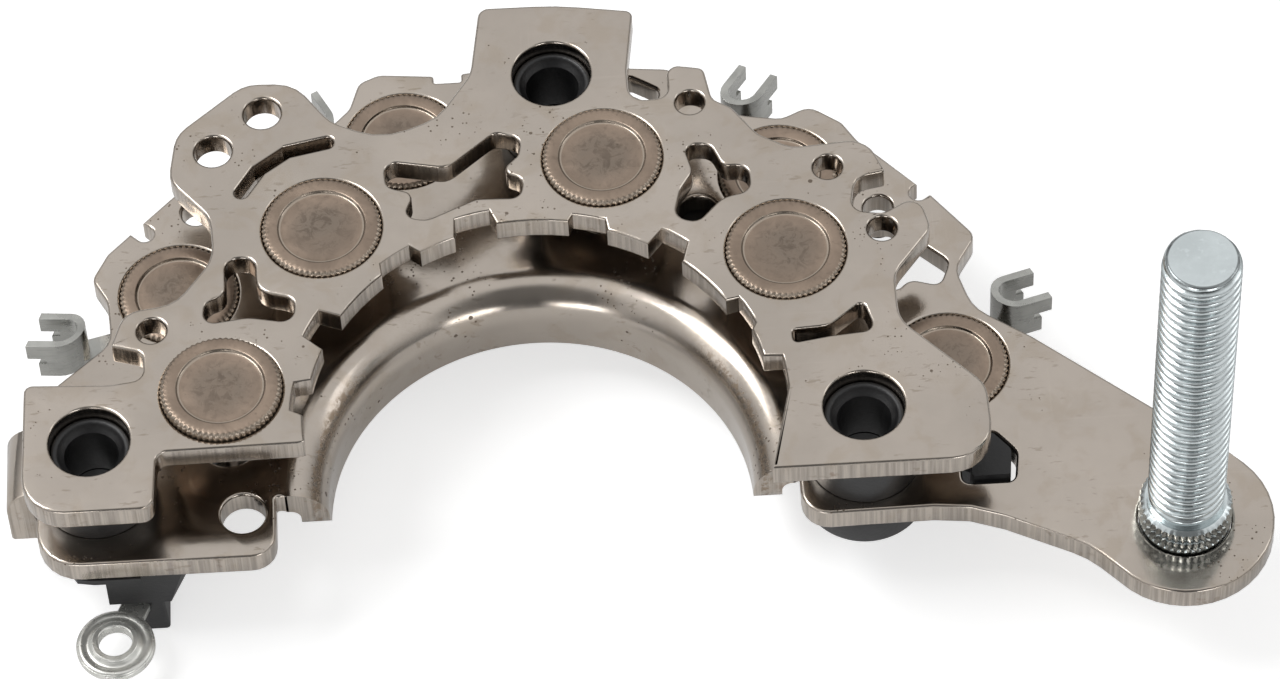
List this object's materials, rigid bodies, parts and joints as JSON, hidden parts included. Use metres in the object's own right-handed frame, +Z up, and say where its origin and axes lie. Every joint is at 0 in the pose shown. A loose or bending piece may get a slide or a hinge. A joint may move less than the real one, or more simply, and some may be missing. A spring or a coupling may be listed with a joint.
{
  "type": "alternator rectifier",
  "caption": "Arc-shaped rectifier: stacked heat sink plates with press-fit diodes, half-round drawn flange, threaded output stud, insulating bushes and fork terminals.",
  "frame": {"origin": "on the half-round flange's axis, in the plane of the three foot bushes' undersides", "axes": "+Z up along the flange's axis and the output stud, +X towards the output stud, +Y towards the tab with the top mounting hole"},
  "size_m": [0.1317, 0.0737, 0.0599],
  "materials": {
    "plate": "satin",
    "diode_can": "matte",
    "stud": "satin",
    "bush": "matte",
    "carrier": "matte",
    "terminal": "satin"
  },
  "bodies": {
    "root": {"upper_plate": "plate", "lower_plate": "plate", "upper_diode_1": "diode_can", "upper_diode_2": "diode_can", "upper_diode_3": "diode_can", "upper_diode_4": "diode_can", "lower_diode_1": "diode_can", "lower_diode_2": "diode_can", "lower_diode_3": "diode_can", "lower_diode_4": "diode_can", "output_stud": "stud", "foot_bush_left": "bush", "foot_bush_top": "bush", "foot_bush_right": "bush", "spacer_bush_left": "bush", "spacer_bush_top": "bush", "spacer_bush_right": "bush", "terminal_carrier": "carrier", "phase_terminal_1": "terminal", "phase_terminal_2": "terminal", "phase_terminal_3": "terminal", "phase_terminal_4": "terminal", "ring_terminal": "terminal"}
  },
  "joints": []
}
